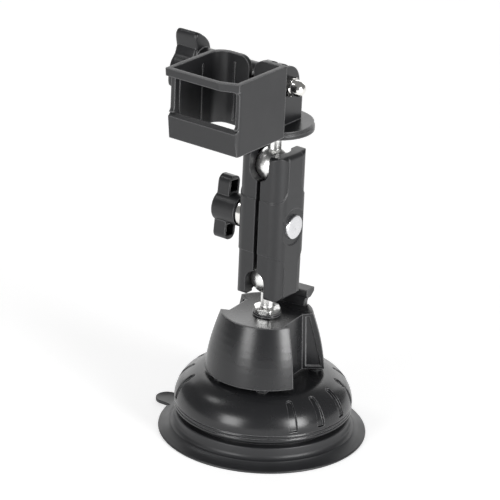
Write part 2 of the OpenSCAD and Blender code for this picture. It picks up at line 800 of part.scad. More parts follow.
// Threaded insert moulded into the clamp knob
module knob_insert() {
    color("#b08d57") difference() {
        rod_x(knob_end_x + 1.5 * over, knob_face_x, knob_insert_r, arm_mid_z);
        rod_x(knob_end_x + over / 2, knob_face_x + over, bolt_r + run_gap, arm_mid_z);
    }
}

// One prong of the adapter in Y and Z, from the disc to round about the bolt
module prong_outline() {
    foot = disc_top_z - pivot_z - over / 2;
    circle(r = prong_r);
    polygon([[-block_half_d, foot], [block_half_d, foot], [prong_r, 0], [-prong_r, 0]]);
}

// Disc and three prongs that carry the sleeve's pivot
module adapter() {
    step = disc_t / 2;
    gap_w = prong_sleeve_t + 2 * prong_gap;
    gap_z = pivot_z - prong_r - over;
    color("#1b1c1e") difference() {
        union() {
            translate([0, 0, adapter_z]) cylinder(r = disc_r, h = step);
            translate([0, 0, adapter_z + step]) cylinder(r = disc_r - over / 2, h = disc_t - step);
            translate([0, 0, pivot_z]) along_x(-block_w / 2, block_w) prong_outline();
        }
        for (x0 = [prong_mid_half, -prong_mid_half - gap_w])
            block([x0, -block_half_d - over, gap_z], [x0 + gap_w, block_half_d + over, pivot_z + prong_r + over]);
        block([nut_seat_x, -block_half_d - over, ledge_z],
            [block_w, block_half_d + over, pivot_z + prong_r + over]);
        rod_x(-block_w, block_w, pivot_r + slide_gap, pivot_z);
        translate([0, 0, adapter_z - over]) cylinder(r = insert_r, h = stud_thread_len + 2 * over);
    }
}

// Threaded insert in the adapter's underside
module adapter_insert() {
    color("#b08d57") translate([0, 0, adapter_z]) difference() {
        cylinder(r = insert_r, h = stud_thread_len + over);
        translate([0, 0, -over]) cylinder(r = thread_r + run_gap, h = stud_thread_len + 3 * over);
    }
}

// Outline of the sleeve in X and Y: one cut front corner, one large back corner
module sleeve_outline(inset) {
    left = -sleeve_w / 2 - sleeve_shift + inset;
    right = sleeve_w / 2 - sleeve_shift - inset;
    back = -sleeve_back - inset;
    front = -sleeve_back - sleeve_d + inset;
    cut_l = sqrt(pow(sleeve_cut_w, 2) + pow(sleeve_cut_d, 2));
    cut_w = sleeve_cut_w - inset * (1 + (sleeve_cut_w - cut_l) / sleeve_cut_d);
    cut_d = cut_w * sleeve_cut_d / sleeve_cut_w;
    r = sleeve_back_r - inset;
    polygon([
        [left, front], [right - cut_w, front], [right, front + cut_d], [right, back],
        [left + r, back], [left, back - r]
    ]);
    translate([left + r, back - r]) circle(r = r);
}

// Side view of the sleeve in Y and Z, with its leaning front
module sleeve_side(inset) {
    back = -sleeve_back - inset;
    front = -sleeve_back - sleeve_d + inset;
    slope = sleeve_lean / sleeve_h;
    polygon([
        [front - over * slope, sleeve_top_z + over], [back, sleeve_top_z + over], [back, sleeve_z - over],
        [front + (sleeve_h + over) * slope, sleeve_z - over]
    ]);
}

// The sleeve's form, drawn in by an inset, between two heights
module sleeve_form(inset, low, high) {
    intersection() {
        translate([0, 0, low]) linear_extrude(high - low) sleeve_outline(inset);
        along_x(-sleeve_w, 2 * sleeve_w) sleeve_side(inset);
    }
}

// Split sleeve with a front window and two prongs at its back
module camera_sleeve() {
    window_y = -sleeve_back - sleeve_d + window_d;
    pocket_y = -sleeve_back - sleeve_d + sleeve_t + sleeve_cut_d;
    prong_end = prong_r - 2 * free_gap;
    bevel = 1.6 * over;
    slit_r = 2 * slit_w;
    corner_r = sleeve_cut_d;
    right = sleeve_w / 2 - sleeve_shift;
    corner_y = -sleeve_back - sleeve_d + sleeve_lean / 2;
    panel_y = corner_y + sleeve_lean / 4;
    color("#1a1b1d") difference() {
        union() {
            sleeve_form(0, sleeve_z, sleeve_top_z);
            for (x0 = [-sleeve_prong_x - prong_sleeve_t, sleeve_prong_x])
                along_x(x0, prong_sleeve_t) translate([0, pivot_z]) {
                    circle(r = prong_end);
                    translate([-sleeve_back - sleeve_t / 2, -prong_end])
                        square([sleeve_back + sleeve_t / 2, 2 * prong_end]);
                }
        }
        sleeve_form(sleeve_t, sleeve_z - over, sleeve_top_z + over);
        block([right - sleeve_w + sleeve_t, -sleeve_w - sleeve_d, panel_top_z], [right - sleeve_t, pocket_y, band_z]);
        along_x(-sleeve_w, 2 * sleeve_w) difference() {
            polygon([
                [-sleeve_w - sleeve_d, panel_top_z], [window_y, panel_top_z], [window_y, band_z],
                [-sleeve_w - sleeve_d, band_z]
            ]);
            for (z = [[panel_top_z, 1], [band_z, -1]]) translate([window_y, z[0]]) scale([1, z[1]]) difference() {
                translate([-sleeve_t, 0]) square([sleeve_t, sleeve_t]);
                translate([-sleeve_t, sleeve_t]) circle(r = sleeve_t);
            }
        }
        along_x(-sleeve_w, 2 * sleeve_w) polygon([
            [panel_y - sleeve_w / 2, panel_top_z - bevel], [panel_y, panel_top_z - bevel],
            [panel_y + bevel, panel_top_z + over / 5], [panel_y - sleeve_w / 2, panel_top_z + over / 5]
        ]);
        translate([right - corner_r, corner_y + corner_r, sleeve_z - over])
            linear_extrude(band_z - sleeve_z + over) difference() {
                translate([0, -3 * corner_r]) square([2 * corner_r, 3 * corner_r]);
                circle(r = corner_r);
            }
        block([-slit_w / 2, -sleeve_back - sleeve_back_r, sleeve_z - over],
            [slit_w / 2, -sleeve_back + prong_r, sleeve_top_z + over]);
        both_sides() along_y(-sleeve_back - sleeve_t - over, sleeve_t + 2 * over)
            translate([slit_w / 2 - over, sleeve_top_z - slit_r]) difference() {
                square([slit_r + over, slit_r + over]);
                translate([slit_r + over, 0]) circle(r = slit_r);
            }
        rod_x(-block_w, block_w, pivot_r + slide_gap, pivot_z);
    }
}

// Long bolt through all the prongs
module pivot_bolt() {
    color("#cfd1d4") rod_x(-neck_end - lobe_w / 2, nut_seat_x + nut_t + over, pivot_r, pivot_z);
}

// Acorn nut held by the adapter's ledge
module acorn_nut() {
    hex_r = nut_flats / sqrt(3);
    color("#d9dbde") translate([nut_seat_x, 0, pivot_z]) rotate([0, 90, 0]) difference() {
        union() {
            rotate([0, 0, 30]) cylinder(r = hex_r, h = nut_t, $fn = 6);
            translate([0, 0, nut_t]) sphere(r = nut_dome_r);
        }
        translate([0, 0, -over]) cylinder(r = pivot_r + run_gap / 2, h = nut_t + 2.5 * over);
    }
}

// Washer between the adapter and the long knob's neck
module pivot_washer() {
    color("#cfd1d4") difference() {
        rod_x(neck_x, -block_w / 2, knob_neck_r, pivot_z);
        rod_x(neck_x - over, -block_w / 2 + over, pivot_r + run_gap, pivot_z);
    }
}

// Share of the long knob's radius along one lobe: a slow rise and a steep fall
lobe_shares = [
    [0, 0.48], [0.12, 0.53], [0.22, 0.61], [0.34, 0.7], [0.47, 0.82], [0.56, 0.95], [0.6, 1],
    [0.64, 0.98], [0.68, 0.84], [0.71, 0.68], [0.75, 0.565], [0.83, 0.525], [0.92, 0.49], [1, 0.48]
];

// Outline of the long knob in Y and Z: lobes that sweep one way
module lobe_outline() {
    steps = 40;
    polygon([for (k = [0 : lobe_n - 1], i = [0 : steps - 1])
        let (a = lobe_turn + 360 / lobe_n * (k + i / steps), r = lobe_r * lookup(i / steps, lobe_shares))
        [r * cos(a), r * sin(a)]]);
}

// Long-necked knob that turns the pivot bolt
module sleeve_knob() {
    color("#1e1f21") difference() {
        union() {
            rod_x(-neck_end, neck_x, knob_neck_r, pivot_z);
            translate([0, 0, pivot_z]) along_x(-neck_end - lobe_w, lobe_w) lobe_outline();
        }
        rod_x(-neck_end - lobe_w / 2, neck_x + over, pivot_r, pivot_z);
    }
}

suction_pad();
plunger_plate();
plunger_stem();
lever_pin();
base_dome();
wear_plate();
tower();
base_screws();
stud_insert();
cam_lever();
lower_ball_stud();
arm_half_bolt_side();
arm_half_knob_side();
clamp_bolt();
spreader_spring();
clamp_collar();
clamp_washer();
clamp_knob();
knob_insert();
upper_ball_stud();
adapter();
adapter_insert();
camera_sleeve();
pivot_bolt();
acorn_nut();
pivot_washer();
sleeve_knob();
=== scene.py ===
"""Dresses the suction cup camera mount: finishes, soft parts, fine fittings, studio and camera."""

import logging
import math
from collections.abc import Sequence
from dataclasses import dataclass, field
from enum import Enum

import bmesh
import bpy
from mathutils import Matrix, Vector


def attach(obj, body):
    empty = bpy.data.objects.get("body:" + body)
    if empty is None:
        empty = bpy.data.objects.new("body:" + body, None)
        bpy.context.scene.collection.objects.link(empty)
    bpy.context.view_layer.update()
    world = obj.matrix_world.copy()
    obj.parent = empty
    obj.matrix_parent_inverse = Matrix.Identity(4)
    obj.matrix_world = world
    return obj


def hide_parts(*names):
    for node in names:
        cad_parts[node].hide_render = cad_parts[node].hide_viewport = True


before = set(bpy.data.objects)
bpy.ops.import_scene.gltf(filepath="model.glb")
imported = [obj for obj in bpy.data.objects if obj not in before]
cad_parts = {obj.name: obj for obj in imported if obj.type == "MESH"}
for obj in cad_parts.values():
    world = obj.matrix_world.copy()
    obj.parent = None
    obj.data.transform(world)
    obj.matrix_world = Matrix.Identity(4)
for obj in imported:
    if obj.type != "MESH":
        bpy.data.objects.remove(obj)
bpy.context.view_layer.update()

LOG = logging.getLogger("camera_mount")
MM = 0.001
ON_AXIS = 1e-6

Point = tuple[float, float, float]
Colour = tuple[float, float, float]
Profile = Sequence[tuple[float, float]]


class Slot(Enum):
    """Material slots of the record, one named by each finish."""

    RUBBER = "rubber"
    BASE = "base_plastic"
    ARM = "arm_plastic"
    HEAD = "head_plastic"
    PLATE = "plate_plastic"
    CHROME = "chrome"
    STEEL = "steel"
    BRASS = "brass"


class Axis(Enum):
    """Directions that a turned piece may stand along."""

    UP = Matrix.Identity(4)
    DOWN = Matrix.Rotation(math.pi, 4, "X")
    ACROSS = Matrix.Rotation(math.pi / 2, 4, "Y")


# Materials


def add_node(tree: bpy.types.NodeTree, kind: str, values: dict[str, object]) -> bpy.types.Node:
    """Adds a node and sets its properties, or inputs with their spaces as underscores."""
    node = tree.nodes.new(kind)
    for key, value in values.items():
        if hasattr(node, key):
            setattr(node, key, value)
        else:
            node.inputs[key.replace("_", " ")].default_value = value
    return node


class NodeBoard:
    """A material's node tree with short ways to add and join nodes."""

    def __init__(self, name: str) -> None:
        """Starts an empty board.

        Args:
            name: Name of the new material.
        """
        self.material = bpy.data.materials.new(name)
        self.material.use_nodes = True
        self.tree = self.material.node_tree
        self.tree.nodes.clear()
        self.shader = self.add("ShaderNodeBsdfPrincipled")
        output = self.add("ShaderNodeOutputMaterial")
        self.link(self.shader, "BSDF", output, "Surface")

    def add(self, kind: str, **values: object) -> bpy.types.Node:
        """Adds a node with its values to the material."""
        return add_node(self.tree, kind, values)

    def link(self, source: bpy.types.Node, out: str, target: bpy.types.Node, into: str | int) -> None:
        """Joins one node's output to another node's input."""
        self.tree.links.new(source.outputs[out], target.inputs[into])

    def place(self, centre: Point, stretch: Point = (1, 1, 1)) -> bpy.types.Node:
        """Object coordinates measured from a centre.

        Args:
            centre: The point that becomes the origin, in metres.
            stretch: Scale along each axis.

        Returns:
            The mapping node.
        """
        coordinates = self.add("ShaderNodeTexCoord")
        mapping = self.add("ShaderNodeMapping", vector_type="POINT")
        mapping.inputs["Location"].default_value = [-c * s for c, s in zip(centre, stretch)]
        mapping.inputs["Scale"].default_value = stretch
        self.link(coordinates, "Object", mapping, "Vector")
        return mapping

    def noise(self, place: bpy.types.Node, size: float, detail: float = 3) -> bpy.types.Node:
        """A noise whose features are about the given size in metres."""
        node = self.add("ShaderNodeTexNoise", Scale=1 / size, Detail=detail)
        self.link(place, "Vector", node, "Vector")
        return node

    def spread(self, source: bpy.types.Node, out: str, low: float, high: float,
               start: float = 0.3, end: float = 0.7) -> bpy.types.Node:
        """Maps a value between start and end onto low to high."""
        node = self.add("ShaderNodeMapRange")
        node.inputs["From Min"].default_value = start
        node.inputs["From Max"].default_value = end
        node.inputs["To Min"].default_value = low
        node.inputs["To Max"].default_value = high
        self.link(source, out, node, "Value")
        return node

    def edge(self, radius: float) -> tuple[bpy.types.Node, bpy.types.Node]:
        """Rounds the shading at edges and finds how near an edge a point is.

        Args:
            radius: Radius of the rounding, in metres.

        Returns:
            The bevel node, and a value that is 0 on a flat face and 1 on an edge.
        """
        bevel = self.add("ShaderNodeBevel", samples=6, Radius=radius)
        geometry = self.add("ShaderNodeNewGeometry")
        dot = self.add("ShaderNodeVectorMath", operation="DOT_PRODUCT")
        self.link(bevel, "Normal", dot, 0)
        self.link(geometry, "Normal", dot, 1)
        return bevel, self.spread(dot, "Value", 1.0, 0.0, 0.78, 0.985)

    def tint(self, source: bpy.types.Node, out: str, low: Colour, high: Colour) -> bpy.types.Node:
        """Colours a value from one colour to another and feeds the shader's base colour."""
        ramp = self.add("ShaderNodeValToRGB")
        ramp.color_ramp.elements[0].color = (*low, 1)
        ramp.color_ramp.elements[1].color = (*high, 1)
        self.link(source, out, ramp, "Fac")
        return ramp


@dataclass(frozen=True)
class MouldedPlastic:
    """Black moulded plastic: fine grain, a little mottle, and a painted highlight that tints its edges lighter."""

    name: str
    slot: Slot
    colour: Colour = (0.012, 0.0123, 0.0135)
    # Colour of the painted highlight along the edges, standing in for the light that small fillets catch.
    edge_highlight: Colour = (0.24, 0.24, 0.245)
    gloss: tuple[float, float] = (0.3, 0.38)
    grain: float = 0.0004
    grain_depth: float = 0.000015
    edge_radius: float = 0.0009

    def material(self, centre: Point) -> bpy.types.Material:
        """Builds the finish about a centre.

        Args:
            centre: The middle of the piece, in metres.

        Returns:
            The new material.
        """
        board = NodeBoard(self.name)
        place = board.place(centre)
        bevel, near_edge = board.edge(self.edge_radius)
        grain = board.noise(place, self.grain, 2)
        bump = board.add("ShaderNodeBump", Strength=0.6, Distance=self.grain_depth)
        board.link(grain, "Fac", bump, "Height")
        board.link(bevel, "Normal", bump, "Normal")
        board.link(bump, "Normal", board.shader, "Normal")
        mottle = board.noise(place, 0.012, 4)
        gloss = board.spread(mottle, "Fac", *self.gloss)
        board.link(gloss, "Result", board.shader, "Roughness")
        # Painted highlight: the edge mask, broken up by the grain, tints the base colour lighter along the edges.
        wear_and_highlight_noise = board.spread(grain, "Fac", 0.6, 1.0)
        painted_edge_highlight = board.add("ShaderNodeMath", operation="MULTIPLY")
        board.link(near_edge, "Result", painted_edge_highlight, 0)
        board.link(wear_and_highlight_noise, "Result", painted_edge_highlight, 1)
        tint = board.tint(painted_edge_highlight, "Value", self.colour, self.edge_highlight)
        board.link(tint, "Color", board.shader, "Base Color")
        return board.material


@dataclass(frozen=True)
class SoftRubber:
    """Dark dull rubber with a faint bloom and a fine moulded texture."""

    name: str = "black_rubber"
    slot: Slot = Slot.RUBBER
    colour: Colour = (0.012, 0.0123, 0.0135)
    bloom: Colour = (0.022, 0.0225, 0.0245)
    gloss: tuple[float, float] = (0.36, 0.5)

    def material(self, centre: Point) -> bpy.types.Material:
        """Builds the finish about a centre.

        Args:
            centre: The middle of the piece, in metres.

        Returns:
            The new material.
        """
        board = NodeBoard(self.name)
        place = board.place(centre)
        fine = board.noise(place, 0.0006, 3)
        bump = board.add("ShaderNodeBump", Strength=0.5, Distance=0.00001)
        board.link(fine, "Fac", bump, "Height")
        board.link(bump, "Normal", board.shader, "Normal")
        cloud = board.noise(place, 0.02, 5)
        gloss = board.spread(cloud, "Fac", *self.gloss)
        board.link(gloss, "Result", board.shader, "Roughness")
        tint = board.tint(cloud, "Fac", self.colour, self.bloom)
        board.link(tint, "Color", board.shader, "Base Color")
        return board.material


@dataclass(frozen=True)
class BareMetal:
    """Metal with fine turning marks or hairline wear."""

    name: str
    slot: Slot
    colour: Colour
    shade: Colour
    gloss: tuple[float, float]
    mark_size: float = 0.0015
    mark_depth: float = 0.000002
    rings: float = 0.0
    edge_radius: float = 0.0002

    def material(self, centre: Point) -> bpy.types.Material:
        """Builds the finish about a centre.

        Args:
            centre: The middle of the piece, in metres. Turning rings run round X through it.

        Returns:
            The new material.
        """
        board = NodeBoard(self.name)
        board.shader.inputs["Metallic"].default_value = 1.0
        place = board.place(centre)
        bevel, _ = board.edge(self.edge_radius)
        if self.rings:
            marks = board.add("ShaderNodeTexWave", wave_type="RINGS", rings_direction="X",
                              Scale=1 / self.rings, Distortion=0.6, Detail=2.0)
            board.link(place, "Vector", marks, "Vector")
        else:
            marks = board.noise(place, self.mark_size, 4)
        bump = board.add("ShaderNodeBump", Strength=0.5, Distance=self.mark_depth)
        board.link(marks, "Fac", bump, "Height")
        board.link(bevel, "Normal", bump, "Normal")
        board.link(bump, "Normal", board.shader, "Normal")
        wear_and_highlight_noise = board.noise(place, 0.004, 3)
        gloss = board.spread(wear_and_highlight_noise, "Fac", *self.gloss)
        board.link(gloss, "Result", board.shader, "Roughness")
        tint = board.tint(wear_and_highlight_noise, "Fac", self.shade, self.colour)
        board.link(tint, "Color", board.shader, "Base Color")
        return board.material


Finish = MouldedPlastic | SoftRubber | BareMetal

# The lighter edge colours given below are painted highlights.
DOME_PLASTIC = MouldedPlastic("dome_plastic", Slot.BASE, gloss=(0.22, 0.28), grain=0.0005, edge_radius=0.0005)
TOWER_PLASTIC = MouldedPlastic("tower_plastic", Slot.BASE, edge_highlight=(0.3, 0.3, 0.305), gloss=(0.24, 0.3),
                               grain_depth=0.00003)
LEVER_PLASTIC = MouldedPlastic("lever_plastic", Slot.BASE, gloss=(0.3, 0.38))
ARM_PLASTIC = MouldedPlastic("arm_plastic", Slot.ARM, edge_highlight=(0.08, 0.08, 0.083), gloss=(0.36, 0.44))
KNOB_PLASTIC = MouldedPlastic("knob_plastic", Slot.ARM, gloss=(0.32, 0.4), grain_depth=0.00002)
HEAD_PLASTIC = MouldedPlastic("head_plastic", Slot.HEAD, gloss=(0.28, 0.36))
SLEEVE_PLASTIC = MouldedPlastic("sleeve_plastic", Slot.HEAD, edge_highlight=(0.22, 0.22, 0.225), gloss=(0.38, 0.46))
PLATE_PLASTIC = MouldedPlastic("plate_plastic", Slot.PLATE, colour=(0.08, 0.08, 0.085), edge_highlight=(0.16, 0.16, 0.16))
RUBBER = SoftRubber()
CHROME = BareMetal("bright_chrome", Slot.CHROME, (0.88, 0.87, 0.84), (0.8, 0.79, 0.76), (0.14, 0.22))
SATIN_CHROME = BareMetal("satin_chrome", Slot.CHROME, (0.9, 0.9, 0.88), (0.82, 0.82, 0.81), (0.26, 0.34))
STEEL = BareMetal("plain_steel", Slot.STEEL, (0.66, 0.67, 0.68), (0.5, 0.51, 0.52), (0.25, 0.4))
SPUN_STEEL = BareMetal("spun_steel", Slot.STEEL, (0.78, 0.78, 0.79), (0.66, 0.66, 0.68), (0.2, 0.3),
                       mark_depth=0.000004, rings=0.0009)
BLACK_STEEL = BareMetal("blackened_steel", Slot.STEEL, (0.08, 0.08, 0.085), (0.04, 0.04, 0.045), (0.35, 0.5))
BRASS = BareMetal("plain_brass", Slot.BRASS, (0.72, 0.56, 0.28), (0.58, 0.43, 0.2), (0.25, 0.4))


# Making and fitting pieces


def middle(low: Vector, high: Vector) -> Point:
    """The middle of a box."""
    return tuple((low + high) / 2)


def box_of(obj: bpy.types.Object) -> tuple[Vector, Vector]:
    """Lowest and highest corner of an object's own mesh."""
    points = [v.co for v in obj.data.vertices]
    return (Vector([min(p[i] for p in points) for i in range(3)]),
            Vector([max(p[i] for p in points) for i in range(3)]))


def paint(obj: bpy.types.Object, finish: Finish) -> None:
    """Gives an object one finish, centred on its own box."""
    obj.data.materials.clear()
    obj.data.materials.append(finish.material(middle(*box_of(obj))))


def fit(obj: bpy.types.Object, finish: Finish, body: str, *nodes: str) -> bpy.types.Object:
    """Dresses a new piece, sets it on its body and lets it stand for CAD nodes.

    Args:
        obj: The finished piece.
        finish: Its finish.
        body: The body that carries it.
        nodes: CAD nodes that it replaces.

    Returns:
        The same piece.
    """
    paint(obj, finish)
    if nodes:
        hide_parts(*nodes)
    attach(obj, body)
    low, high = (corner / MM for corner in box_of(obj))
    LOG.info("%s on %s: %.1f x %.1f x %.1f mm, %s", obj.name, body, *(high - low), finish.name)
    return obj


def dress(node: str, finish: Finish) -> None:
    """Gives a CAD node its finish."""
    paint(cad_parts[node], finish)
    LOG.info("%s keeps its solid, %s", node, finish.name)


def new_piece(name: str, mesh: bpy.types.Mesh, sharp: float = 35) -> bpy.types.Object:
    """Links a mesh as an object at the origin, smooth apart from its sharp edges.

    Args:
        name: Name of the piece.
        mesh: Its mesh, in place.
        sharp: Angle in degrees from which an edge stays sharp.

    Returns:
        The new object.
    """
    mesh.name = name
    mesh.shade_smooth()
    mesh.set_sharp_from_angle(angle=math.radians(sharp))
    obj = bpy.data.objects.new(name, mesh)
    bpy.context.scene.collection.objects.link(obj)
    return obj


@dataclass(frozen=True)
class Hexagon:
    """Six flats on a turned piece, between two heights."""

    flats: float
    low: float
    high: float
    turn: float = 0.0

    def trim(self, radius: float, height: float, angle: float) -> float:
        """The radius that the flats leave at a height and an angle in radians."""
        if not self.low <= height <= self.high:
            return radius
        part = (angle - math.radians(self.turn)) % (math.pi / 3) - math.pi / 6
        return min(radius, self.flats / 2 / math.cos(part))


def join_rings(shape: bmesh.types.BMesh, rings: Sequence[Sequence[Point]]) -> None:
    """Adds a closed skin over rings of points, each ring joined to the next and the last to the first.

    Args:
        shape: The mesh that takes the skin.
        rings: Rings of as many points each, in millimetres. A ring on the axis becomes one point.
    """
    steps = len(rings[0])
    loops = []
    for ring in rings:
        if max(math.hypot(x, y) for x, y, _ in ring) < ON_AXIS:
            loops.append([shape.verts.new(Vector(ring[0]) * MM)] * steps)
        else:
            loops.append([shape.verts.new(Vector(point) * MM) for point in ring])
    for low, high in zip(loops, loops[1:] + loops[:1]):
        for i in range(steps):
            j = (i + 1) % steps
            corners = list(dict.fromkeys((low[i], low[j], high[j], high[i])))
            if len(corners) > 2:
                shape.faces.new(corners)


def turned(profiles: Sequence[Profile], hexagon: Hexagon | None = None, steps: int = 120) -> bmesh.types.BMesh:
    """Turns closed profiles about the upright axis.

    Args:
        profiles: Radius and height pairs in millimetres for each closed shell.
        hexagon: Flats that trim the shells.
        steps: Number of steps round.

    Returns:
        The open mesh, for the caller to place and free.
    """
    shape = bmesh.new()
    angles = [math.tau * i / steps for i in range(steps)]
    for profile in profiles:
        rings = []
        for radius, height in profile:
            reach = [hexagon.trim(radius, height, a) if hexagon else radius for a in angles]
            rings.append([(r * math.cos(a), r * math.sin(a), height) for r, a in zip(reach, angles)])
        join_rings(shape, rings)
    return shape


def settle(name: str, shape: bmesh.types.BMesh, place: Matrix, sharp: float = 35) -> bpy.types.Object:
    """Places a mesh, turns its faces outwards and makes it an object.

    Args:
        name: Name of the piece.
        shape: Its mesh, which is freed.
        place: Where it stands, in metres.
        sharp: Angle in degrees from which an edge stays sharp.

    Returns:
        The new object.
    """
    shape.transform(place)
    bmesh.ops.recalc_face_normals(shape, faces=shape.faces)
    mesh = bpy.data.meshes.new(name)
    shape.to_mesh(mesh)
    shape.free()
    return new_piece(name, mesh, sharp)


def absorb(shape: bmesh.types.BMesh, other: bmesh.types.BMesh) -> None:
    """Adds another mesh to a shape and frees it."""
    mesh = bpy.data.meshes.new("absorbed")
    other.to_mesh(mesh)
    other.free()
    shape.from_mesh(mesh)
    bpy.data.meshes.remove(mesh)


def arc(centre: tuple[float, float], radius: float, start: float, end: float, steps: int = 12
        ) -> list[tuple[float, float]]:
    """Points along an arc.

    Args:
        centre: Centre of the arc, as radius and height.
        radius: Radius of the arc.
        start: Angle of the first point, in degrees.
        end: Angle of the last point, in degrees.
        steps: Number of steps between them.

    Returns:
        The points, both ends included.
    """
    angles = (math.radians(start + (end - start) * i / steps) for i in range(steps + 1))
    return [(centre[0] + radius * math.cos(a), centre[1] + radius * math.sin(a)) for a in angles]


# Repeated pieces


class NodeTree:
    """A Geometry Nodes tree with named inputs that ends in real meshes with a material."""

    def __init__(self, name: str, sizes: dict[str, float]) -> None:
        """Starts a tree.

        Args:
            name: Name of the tree.
            sizes: Its named inputs, with their values in metres or as counts.
        """
        self.tree = bpy.data.node_groups.new(name, "GeometryNodeTree")
        self.sizes = sizes
        self.tree.interface.new_socket("Geometry", in_out="INPUT", socket_type="NodeSocketGeometry")
        for size in sizes:
            self.tree.interface.new_socket(size, in_out="INPUT", socket_type="NodeSocketFloat")
        self.tree.interface.new_socket("Geometry", in_out="OUTPUT", socket_type="NodeSocketGeometry")
        self.source = self.add("NodeGroupInput")

    def add(self, kind: str, **values: object) -> bpy.types.Node:
        """Adds a node with its values to the tree."""
        return add_node(self.tree, kind, values)

    def link(self, source: bpy.types.Node, out: str | int, target: bpy.types.Node, into: str | int) -> None:
        """Joins one node's output to another node's input."""
        self.tree.links.new(source.outputs[out], target.inputs[into])

    def close(self, last: bpy.types.Node, out: str | int, material: bpy.types.Material) -> None:
        """Makes the instances real, gives them a material and ends the tree."""
        real = self.add("GeometryNodeRealizeInstances")
        coat = self.add("GeometryNodeSetMaterial")
        coat.inputs["Material"].default_value = material
        end = self.add("NodeGroupOutput")
        self.link(last, out, real, 0)
        self.link(real, 0, coat, "Geometry")
        self.link(coat, 0, end, 0)

    def grow(self, name: str, seed: bpy.types.Mesh, sharp: float = 35) -> bpy.types.Object:
        """Runs the tree on a seed mesh and keeps the result as a plain piece.

        Args:
            name: Name of the piece.
            seed: The mesh whose points the tree starts from.
            sharp: Angle in degrees from which an edge stays sharp.

        Returns:
            The new piece.
        """
        host = bpy.data.objects.new(f"{name}_seed", seed)
        bpy.context.scene.collection.objects.link(host)
        modifier = host.modifiers.new(self.tree.name, "NODES")
        modifier.node_group = self.tree
        sockets = {item.name: item.identifier for item in self.tree.interface.items_tree if item.in_out == "INPUT"}
        for size, value in self.sizes.items():
            modifier[sockets[size]] = value
        graph = bpy.context.evaluated_depsgraph_get()
        mesh = bpy.data.meshes.new_from_object(host.evaluated_get(graph))
        host.modifiers.remove(modifier)
        bpy.data.objects.remove(host)
        return new_piece(name, mesh, sharp)


# Sub-assemblies


@dataclass
class RubberDisc:
    """The rubber disc with its thin skirt, upright ring and pull tab, in millimetres."""

    rim_r: float = 48.7
    rim_t: float = 1.3
    skirt_r: float = 42.5
    skirt_h: float = 3.9
    ring_r: float = 41.2
    ring_in_r: float = 35.2
    ring_h: float = 9.4
    web_low: float = 2.6
    web_high: float = 5.8
    plate_r: float = 15.0
    tab_reach: float = 57.8
    tab_w: float = 11.5
    tab_rim_w: float = 1.3
    tab_dip: float = 0.45
    tab_soft: float = 0.35
    turn: float = 6.0

    def profile(self) -> Profile:
        """Closed half section of the disc, from its middle out and back."""
        lip = self.rim_t / 2
        underside = [(0, self.web_low), (self.plate_r, self.web_low), (self.ring_in_r, 0.25),
                     (self.ring_in_r + 2, 0)]
        rim = [(self.rim_r - 2, 0), *arc((self.rim_r - lip, lip), lip, -80, 90, 8)]
        skirt = [
            (self.skirt_r + 3, self.rim_t + 0.75), (self.skirt_r + 1.2, self.rim_t + 1.6),
            *arc((self.ring_r + 2.2, self.skirt_h + 1.9), 2.2, -95, -180, 8)
        ]
        ring = [
            *arc((self.ring_r - 0.7, self.ring_h - 0.7), 0.7, 0, 90, 5),
            *arc((self.ring_in_r + 0.7, self.ring_h - 0.7), 0.7, 90, 180, 5),
            *arc((self.ring_in_r - 1.2, self.web_high + 1.2), 1.2, 0, -90, 5), (0, self.web_high)
        ]
        return [*underside, *rim, *skirt, *ring]

    def tab(self) -> bpy.types.Object:
        """The pull tab: a tongue with a round end and a raised rim."""
        half = self.tab_w / 2
        end = -(self.tab_reach - half)
        root = -(self.rim_r - 4)
        outline = [(root, half + 1.5), (root - 4.5, half + 0.2), (end, half)]
        outline += [(end - half * math.sin(a), half * math.cos(a)) for a in
                    (math.pi * i / 24 for i in range(1, 24))]
        outline += [(end, -half), (root - 4.5, -half - 0.2), (root, -half - 1.5)]
        shape = bmesh.new()
        floor = shape.faces.new([shape.verts.new((x * MM, y * MM, 0.02 * MM)) for x, y in outline])
        lifted = bmesh.ops.extrude_face_region(shape, geom=[floor])["geom"]
        for vert in (v for v in lifted if isinstance(v, bmesh.types.BMVert)):
            vert.co.z = self.rim_t * 1.4 * MM
        top = next(f for f in lifted if isinstance(f, bmesh.types.BMFace))
        bmesh.ops.inset_region(shape, faces=[top], thickness=self.tab_rim_w * MM, depth=-self.tab_dip * MM)
        bmesh.ops.recalc_face_normals(shape, faces=shape.faces)
        rims = [e for e in shape.edges if len(e.link_faces) == 2 and e.calc_face_angle() > math.radians(50)
                and abs(e.verts[0].co.z - e.verts[1].co.z) < 1e-7]
        bmesh.ops.bevel(shape, geom=rims, offset=self.tab_soft * MM, segments=3, profile=0.5,
                         affect="EDGES")
        return settle("pull_tab", shape, Matrix.Rotation(math.radians(self.turn), 4, "Z"))

    def build(self) -> None:
        """Makes the disc and its tab and lets them stand for the plain pad."""
        disc = settle("rubber_disc", turned([self.profile()], steps=180), Matrix.Identity(4))
        fit(disc, RUBBER, "base", "suction_pad")
        fit(self.tab(), RUBBER, "base")


